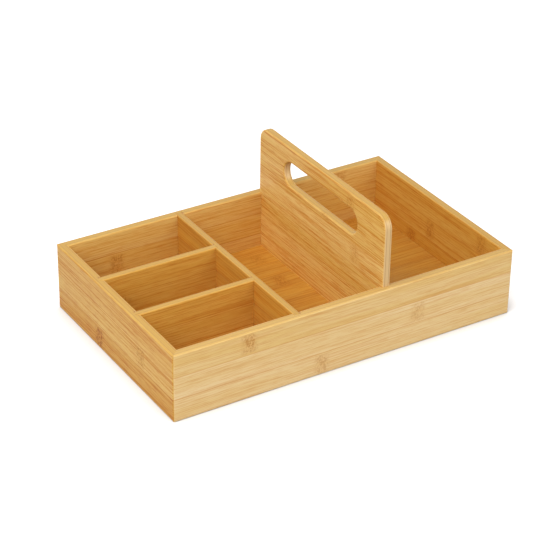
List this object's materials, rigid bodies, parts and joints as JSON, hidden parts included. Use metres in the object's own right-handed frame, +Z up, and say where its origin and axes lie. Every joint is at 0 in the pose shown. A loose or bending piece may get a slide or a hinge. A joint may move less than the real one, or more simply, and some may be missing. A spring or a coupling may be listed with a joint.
{
  "type": "desk organizer",
  "caption": "Open bamboo desk organizer box with mitred walls, housed dividers that split it into bays, and a tall central handle board with a round-ended grip slot.",
  "frame": {"origin": "centre of the box's outline on the surface that it stands on", "axes": "+X along the length, towards the single large bay on the right of the handle board; +Y from front to back; +Z up"},
  "size_m": [0.36, 0.222, 0.138],
  "materials": {
    "bamboo_light": "satin",
    "bamboo": "satin",
    "bamboo_dark": "satin",
    "screw_steel": "satin"
  },
  "bodies": {
    "root": {"front_wall": "bamboo_light", "back_wall": "bamboo_light", "left_wall": "bamboo", "right_wall": "bamboo", "base_panel": "bamboo", "handle_board": "bamboo", "main_divider": "bamboo_dark", "front_cross_divider": "bamboo_dark", "back_cross_divider": "bamboo_dark", "front_left_spline": "bamboo_dark", "front_right_spline": "bamboo_dark", "back_left_spline": "bamboo_dark", "back_right_spline": "bamboo_dark", "base_screws": "screw_steel"}
  },
  "joints": []
}
